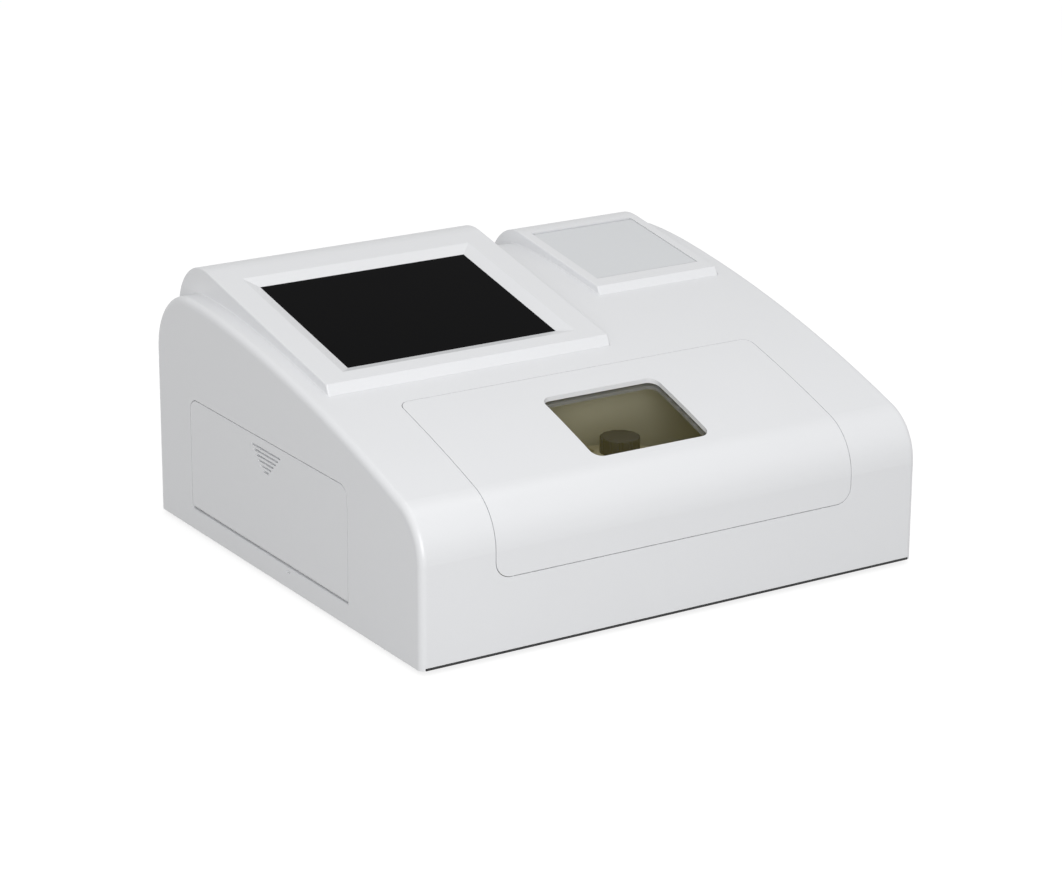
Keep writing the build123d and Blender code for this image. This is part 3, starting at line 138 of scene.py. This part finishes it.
# Polished ABS: the mould's polish leaves a soft sheen and a faint orange peel. The peel is drawn
# 6 mm across, so that it shows. The slow drift keeps the large flat walls from looking dead.
white_abs = grained_finish(
    "polished_white_abs",
    "#E3E4E6",
    roughness=0.34,
    grain=6.0,
    depth=0.02,
    mottle=0.008,
    coat=0.25,
    detail=0.0,
)
dress(white_abs, "top_cover", "lid", "side_door", "display_housing", "printer_housing")


# ---- Fillets where the two housings meet the hood ----
# Each housing's side walls run into the hood in a hollow fillet, moulded in the same white ABS.
# The fillet fades out where the wall gets low, at the lip and at the rear edge.
fillet_radius = 1.2 * MM
fillet_steps = 8
fillet_rows = 150
fillet_sink = 0.02 * MM
wall_share = 0.5
probe = 1.5 * MM
probe_height = 0.2
above_case = 1.0
weld_distance = 0.001 * MM
shapes = bpy.context.evaluated_depsgraph_get()
hood_tree = BVHTree.FromObject(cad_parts["top_cover"], shapes)


def side_fillet(name, housing, side_x, outward):
    """Hollow strip along one side wall of a housing, from its lip to its rear edge."""
    housing_tree = BVHTree.FromObject(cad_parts[housing], shapes)
    low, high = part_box(housing)
    shape = bmesh.new()
    rows = []
    for i in range(fillet_rows + 1):
        y = low[1] + (high[1] - low[1]) * i / fillet_rows
        outside = Vector((side_x + outward * probe, y, above_case))
        ground, normal = hood_tree.ray_cast(outside, Vector((0, 0, -1)))[:2]
        if ground is None:
            continue
        normal = Vector((0, normal.y, normal.z)).normalized()
        foot = Vector((side_x, ground.y, ground.z))
        inside = foot - Vector((outward * probe, 0, 0))
        top = housing_tree.ray_cast(inside + normal * probe_height, -normal)[0]
        height = max(0.0, (top - inside).dot(normal)) if top else 0.0
        size = min(fillet_radius, wall_share * height)
        row = []
        for step in range(fillet_steps + 1):
            angle = (pi / 2) * step / fillet_steps
            out = size * (1 - cos(angle))
            up = size * (1 - sin(angle)) - fillet_sink
            row.append(shape.verts.new(foot + Vector((outward * out, 0, 0)) + normal * up))
        rows.append(row)
    for a, b in zip(rows, rows[1:]):
        for step in range(fillet_steps):
            shape.faces.new((a[step], a[step + 1], b[step + 1], b[step]))
    bmesh.ops.remove_doubles(shape, verts=shape.verts, dist=weld_distance)
    bmesh.ops.recalc_face_normals(shape, faces=shape.faces)
    mesh = bpy.data.meshes.new(name)
    shape.to_mesh(mesh)
    shape.free()
    for face in mesh.polygons:
        face.use_smooth = True
    mesh.materials.append(white_abs)
    made = bpy.data.objects.new(name, mesh)
    bpy.context.collection.objects.link(made)
    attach(made, "case")


for housing in ("display_housing", "printer_housing"):
    low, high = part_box(housing)
    side_fillet(housing + "_left_fillet", housing, low[0], -1)
    side_fillet(housing + "_right_fillet", housing, high[0], 1)

# ---- Printer cover ----
# The hinged cover over the paper is moulded in light grey ABS, in a mould left with its spark
# eroded face. The pits make it matt, and are drawn 0.6 mm wide, so that they show.
matte_grey = grained_finish(
    "spark_eroded_grey_abs", "#D6D8DA", roughness=0.6, grain=0.6, depth=0.35, mottle=0.01
)
dress(matte_grey, "printer_cover")

# ---- Touch screen ----
# Coated black glass lies under the bevelled frame. The panel behind it is off, so it looks black.
# The coat leaves almost no reflection, only a slight haze from wiping that drifts over the glass.
smear_size = 35.0
screen_glass, tree = new_material("black_touch_glass")
place = add_node(tree, "TexCoord").outputs["Object"]
smear = add_node(
    tree, "TexNoise", {"Vector": place, "Scale": 1 / (smear_size * MM), "Detail": 4.0}
)
haze = add_node(
    tree, "MapRange", {"Value": smear.outputs["Fac"], "To Min": 0.12, "To Max": 0.2}
)
shader = add_node(
    tree,
    "BsdfPrincipled",
    {
        "Base Color": linear("#0A0A0B"),
        "Roughness": haze.outputs["Result"],
        "IOR": 1.5,
        "Specular IOR Level": 0.012,
    },
)
add_node(tree, "OutputMaterial", {"Surface": shader.outputs["BSDF"]})
dress(screen_glass, "touch_glass")

# ---- Lid window ----
# A pane of bronze tinted cast acrylic is held under the lid and keeps room light off the samples.
# Its tint hardly varies. It is thin, so it is drawn as a clear film that doesn't bend the view.
tint_size = 40.0
window_acrylic, tree = new_material("bronze_tinted_acrylic")
place = add_node(tree, "TexCoord").outputs["Object"]
drift = add_node(
    tree, "TexNoise", {"Vector": place, "Scale": 1 / (tint_size * MM), "Detail": 2.0}
)
tint = add_node(
    tree,
    "Mix",
    {"Factor": drift.outputs["Fac"], "A": linear("#675E28"), "B": linear("#615824")},
    data_type="RGBA",
)
polish = add_node(
    tree, "MapRange", {"Value": drift.outputs["Fac"], "To Min": 0.05, "To Max": 0.1}
)
clear = add_node(
    tree,
    "BsdfPrincipled",
    {
        "Base Color": tint.outputs["Result"],
        "Roughness": polish.outputs["Result"],
        "IOR": 1.49,
        "Specular IOR Level": 0.25,
        "Alpha": 0.14,
    },
)
add_node(tree, "OutputMaterial", {"Surface": clear.outputs["BSDF"]})
dress(window_acrylic, "window_pane")

# ---- Base plate and black mouldings ----
# The base plate, the rear panel and its fittings, the knob and the two blocks beside the samples
# are black ABS straight from the mould: satin, with a faint grain, which is drawn 0.8 mm wide.
# The chips and the battery's straps are other black plastics that look much the same.
mould_grain = 0.8
black_abs = grained_finish(
    "moulded_black_abs", "#1B1B1C", roughness=0.5, grain=mould_grain, depth=0.25, mottle=0.05
)
dress(
    black_abs,
    "base_plate",
    "carousel_knob",
    "emitter_block",
    "detector_block",
    "rear_panel",
    "switch_frame",
    "power_rocker",
    "network_port",
    "power_inlet",
    "battery_straps",
    "board_chips",
)

# ---- Carousel and chamber tray ----
# The carousel is moulded in natural ABS, a warm ivory with no pigment, and turns on its spindle.
# The tray under it is moulded in pale grey ABS. Both have the mould's satin face.
natural_abs = grained_finish(
    "moulded_natural_abs", "#D6CDA8", roughness=0.5, grain=mould_grain, depth=0.25, mottle=0.04
)
dress(natural_abs, "carousel")
pale_abs = grained_finish(
    "moulded_pale_grey_abs", "#C2BFA8", roughness=0.5, grain=mould_grain, depth=0.25, mottle=0.03
)
dress(pale_abs, "chamber_tray")

# ---- Rubber feet and paper roller ----
# Four feet under the base plate and the roller in the printer's cover are moulded black rubber.
# The rubber is dull, with a fine tooth that is drawn 0.5 mm wide.
foot_rubber = grained_finish(
    "moulded_black_rubber", "#161616", roughness=0.8, grain=0.5, depth=0.4, mottle=0.05
)
dress(foot_rubber, "rubber_feet", "platen_roller")

# ---- Battery bay, paper bucket and window frame ----
# These inner mouldings are mid grey ABS, fixed inside the case and the lid. They have the same
# satin face as the black ones.
grey_abs = grained_finish(
    "moulded_grey_abs", "#8A8C8E", roughness=0.5, grain=mould_grain, depth=0.25, mottle=0.03
)
dress(grey_abs, "battery_bay", "paper_bucket", "pane_retainer")

# ---- Battery pack ----
# The cells are wrapped in a blue heat shrink sleeve. It is smooth and a little glossy, with soft
# waves a few millimetres wide where it drew tight.
blue_sleeve = grained_finish(
    "blue_shrink_sleeve", "#2B5DA8", roughness=0.35, grain=4.0, depth=0.3, mottle=0.06
)
dress(blue_sleeve, "battery_pack")

# ---- Paper roll ----
# The roll is thermal paper, wound on a card core that turns in the bucket. Its ends show rings,
# where the layers are really too thin to see: they are drawn about 2 mm apart.
ring_wave = 6.0
thermal_paper, tree = new_material("wound_thermal_paper")
place = add_node(tree, "TexCoord").outputs["Object"]
low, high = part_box("paper_roll")
middle = [(a + b) / 2 for a, b in zip(low, high)]
centred = add_node(tree, "Mapping", {"Vector": place, "Location": [-c for c in middle]})
layers = add_node(
    tree,
    "TexWave",
    {"Vector": centred.outputs["Vector"], "Scale": 1 / (ring_wave * MM), "Distortion": 0.4},
    wave_type="RINGS",
    rings_direction="X",
)
tone = add_node(
    tree,
    "Mix",
    {"Factor": layers.outputs["Fac"], "A": linear("#F1F0EC"), "B": linear("#E2E0D9")},
    data_type="RGBA",
)
shader = add_node(
    tree, "BsdfPrincipled", {"Base Color": tone.outputs["Result"], "Roughness": 0.7}
)
add_node(tree, "OutputMaterial", {"Surface": shader.outputs["BSDF"]})
dress(thermal_paper, "paper_roll")

# Wound card: dull brown, with a coarse fibre and uneven tone.
card = grained_finish(
    "wound_card", "#B08F68", roughness=0.85, grain=0.7, depth=0.5, mottle=0.08
)
dress(card, "roll_core")


# ---- Screws, pins, pillars and shafts ----
# These and the magnets' keepers are bare steel, turned or cut to length. The tool marks run one
# way and catch the light in streaks. They are drawn 0.3 mm apart, so that they show.
mark_stretch = 8.0
mark_shade = 0.85
mark_spread = 0.08
mark_strength = 0.15
mark_height = 0.05


def worked_metal(name, colour, roughness, mark):
    """Bare metal with fine tool marks this many mm apart."""
    made, tree = new_material(name)
    place = add_node(tree, "TexCoord").outputs["Object"]
    drawn = add_node(tree, "Mapping", {"Vector": place, "Scale": (1.0, mark_stretch, 1.0)})
    marks = add_node(
        tree,
        "TexNoise",
        {
            "Vector": drawn.outputs["Vector"],
            "Scale": 1 / (mark_stretch * mark * MM),
            "Detail": 4.0,
        },
    )
    base = linear(colour)
    darker = (*[c * mark_shade for c in base[:3]], 1.0)
    tone = add_node(
        tree, "Mix", {"Factor": marks.outputs["Fac"], "A": darker, "B": base}, data_type="RGBA"
    )
    rough = add_node(
        tree,
        "MapRange",
        {
            "Value": marks.outputs["Fac"],
            "To Min": roughness - mark_spread,
            "To Max": roughness + mark_spread,
        },
    )
    bump = add_node(
        tree,
        "Bump",
        {
            "Height": marks.outputs["Fac"],
            "Strength": mark_strength,
            "Distance": mark_height * MM,
        },
    )
    shader = add_node(
        tree,
        "BsdfPrincipled",
        {
            "Base Color": tone.outputs["Result"],
            "Roughness": rough.outputs["Result"],
            "Normal": bump.outputs["Normal"],
            "Metallic": 1.0,
        },
    )
    add_node(tree, "OutputMaterial", {"Surface": shader.outputs["BSDF"]})
    return made


turned_steel = worked_metal("turned_steel", "#C9C7C3", roughness=0.38, mark=0.3)
dress(
    turned_steel,
    "base_screws",
    "lid_hinge_pins",
    "spindle",
    "motor_screws",
    "bracket_screws",
    "lcd_board_pillars",
    "printer_cover_pins",
    "platen_shaft",
    "door_pins",
    "board_pillars",
    "board_screws",
    "magnet_keepers",
    "door_keepers",
)

# ---- Aluminium parts ----
# The screen panel's case, its brackets, the print head and the capacitors' cans are aluminium,
# blasted to an even, soft grey with marks that are drawn 0.6 mm wide.
blasted_aluminium = worked_metal("blasted_aluminium", "#D5D6D8", roughness=0.45, mark=0.6)
dress(blasted_aluminium, "lcd_module", "lcd_brackets", "print_head", "board_capacitors")

# ---- Magnets and data ports ----
# The lid's and door's magnets and the shells of the two data ports are nickel plated. The plate
# is bright and a little warm, with faint polishing marks drawn 0.4 mm apart.
nickel_plate = worked_metal("nickel_plate", "#D8D4CA", roughness=0.17, mark=0.4)
dress(nickel_plate, "lid_magnets", "door_magnets", "usb_ports")

# ---- Stepper motor ----
# The motor under the tray turns the carousel's spindle. Its body is coated with black enamel,
# which is smooth and fairly glossy, with a light ripple from spraying.
motor_enamel = grained_finish(
    "black_motor_enamel", "#202022", roughness=0.4, grain=1.2, depth=0.2, mottle=0.05
)
dress(motor_enamel, "stepper_motor")

# ---- Circuit boards ----
# The boards are glass and epoxy laminate under green solder resist, on pillars. The copper tracks
# show through as paler lines, which are drawn as a plain grid of bricks 3 mm long.
track_wave = 6.0
board_resist, tree = new_material("green_solder_resist")
place = add_node(tree, "TexCoord").outputs["Object"]
tracks = add_node(
    tree,
    "TexBrick",
    {
        "Vector": place,
        "Scale": 1 / (track_wave * MM),
        "Mortar Size": 0.03,
        "Color1": linear("#1E6B3C"),
        "Color2": linear("#1B6237"),
        "Mortar": linear("#2C8550"),
    },
)
shader = add_node(
    tree,
    "BsdfPrincipled",
    {"Base Color": tracks.outputs["Color"], "Roughness": 0.35, "IOR": 1.55},
)
add_node(tree, "OutputMaterial", {"Surface": shader.outputs["BSDF"]})
dress(board_resist, "lcd_board", "main_board")

# ---- Lamp and lens ----
# The lamp and the detector's lens, in their black blocks, are moulded in clear acrylic.
# It is almost clear, with a faint frost that is drawn 0.8 mm wide.
clear_acrylic, tree = new_material("clear_acrylic")
place = add_node(tree, "TexCoord").outputs["Object"]
frost = add_node(
    tree, "TexNoise", {"Vector": place, "Scale": 1 / (mould_grain * MM), "Detail": 2.0}
)
soft = add_node(
    tree, "MapRange", {"Value": frost.outputs["Fac"], "To Min": 0.05, "To Max": 0.2}
)
shader = add_node(
    tree,
    "BsdfPrincipled",
    {
        "Base Color": linear("#F4F4F0"),
        "Roughness": soft.outputs["Result"],
        "IOR": 1.49,
        "Transmission Weight": 0.9,
    },
)
add_node(tree, "OutputMaterial", {"Surface": shader.outputs["BSDF"]})
dress(clear_acrylic, "emitter_lamp", "detector_lens")

# ---- Floor ----
# The reader stands on a wide matt sheet. Its glow is only there for the camera, for reflections
# and for views through glass, where it lifts the sheet to white around the soft shadow.
floor_size = 6.0
floor_glow = 0.8
floor_mesh = bpy.data.meshes.new("studio_floor")
shape = bmesh.new()
bmesh.ops.create_grid(shape, x_segments=1, y_segments=1, size=floor_size / 2)
shape.to_mesh(floor_mesh)
shape.free()
floor = bpy.data.objects.new("studio_floor", floor_mesh)
bpy.context.collection.objects.link(floor)
paint, tree = new_material("white_floor_paint")
path = add_node(tree, "LightPath")
direct = add_node(
    tree,
    "Math",
    {0: path.outputs["Is Camera Ray"], 1: path.outputs["Is Glossy Ray"]},
    operation="MAXIMUM",
)
seen = add_node(
    tree,
    "Math",
    {0: direct.outputs[0], 1: path.outputs["Is Transmission Ray"]},
    operation="MAXIMUM",
)
diffuse = add_node(tree, "BsdfDiffuse", {"Color": linear("#939393")})
glow = add_node(tree, "Emission", {"Color": (1, 1, 1, 1), "Strength": floor_glow})
both = add_node(tree, "AddShader", {0: diffuse.outputs[0], 1: glow.outputs[0]})
shown = add_node(
    tree, "MixShader", {0: seen.outputs[0], 1: diffuse.outputs[0], 2: both.outputs[0]}
)
add_node(tree, "OutputMaterial", {"Surface": shown.outputs[0]})
floor_mesh.materials.append(paint)

# ---- Room light ----
# An even white room. The camera, and a view through glass, see it at full white, and it lights
# the reader by a little less.
room_light = 0.66
backdrop_light = 1.0
world = bpy.data.worlds.new("studio_world")
bpy.context.scene.world = world
world.use_nodes = True
tree = world.node_tree
tree.nodes.clear()
path = add_node(tree, "LightPath")
seen = add_node(
    tree,
    "Math",
    {0: path.outputs["Is Camera Ray"], 1: path.outputs["Is Transmission Ray"]},
    operation="MAXIMUM",
)
strength = add_node(
    tree,
    "MapRange",
    {"Value": seen.outputs[0], "To Min": room_light, "To Max": backdrop_light},
)
sky = add_node(
    tree, "Background", {"Color": (1, 1, 1, 1), "Strength": strength.outputs["Result"]}
)
add_node(tree, "OutputWorld", {"Surface": sky.outputs[0]})

# ---- Lamps ----
# Two square softboxes, aimed at the middle of the case. One hangs almost overhead, and a stronger
# one stands in front, a little to the right of the camera, for the soft highlights on the front.
case_middle = (0, 0, 0.1)
overhead_place = (0.2, -0.2, 2.2)
overhead_size = 1.6
overhead_watts = 7
front_place = (-1.05, -2.1, 0.75)
front_size = 1.3
front_watts = 28


def softbox(name, place, size, power):
    """Square lamp panel aimed at the middle of the case."""
    lamp = bpy.data.lights.new(name, "AREA")
    lamp.shape = "SQUARE"
    lamp.size = size
    lamp.energy = power
    made = bpy.data.objects.new(name, lamp)
    made.location = place
    aim = Vector(case_middle) - Vector(place)
    made.rotation_euler = aim.to_track_quat("-Z", "Y").to_euler()
    bpy.context.collection.objects.link(made)


softbox("overhead_softbox", overhead_place, overhead_size, overhead_watts)
softbox("front_softbox", front_place, front_size, front_watts)

# ---- Camera ----
# It looks from the front left corner and a little above, from over two metres away. Its turn is
# built from its azimuth, elevation and roll, and its lens from a focal length in pixels.
frame_width = 1062
focal_pixels = 3417
azimuth = radians(32.55)
elevation = radians(18.49)
roll = radians(-0.35)
camera_place = (-1.1977, -1.8779, 0.8168)
ahead = Vector(
    (sin(azimuth) * cos(elevation), cos(azimuth) * cos(elevation), -sin(elevation))
)
right = Vector((cos(azimuth), -sin(azimuth), 0))
down = ahead.cross(right)
rolled_right = right * cos(roll) + down * sin(roll)
rolled_down = down * cos(roll) - right * sin(roll)
lens = bpy.data.cameras.new("camera")
lens.sensor_width = 36
lens.sensor_fit = "HORIZONTAL"
lens.lens = focal_pixels / frame_width * lens.sensor_width
camera = bpy.data.objects.new("camera", lens)
bpy.context.collection.objects.link(camera)
turn = Matrix((rolled_right, -rolled_down, -ahead)).transposed()
camera.matrix_world = Matrix.Translation(camera_place) @ turn.to_4x4()
bpy.context.scene.camera = camera
bpy.context.scene.view_settings.view_transform = "Standard"
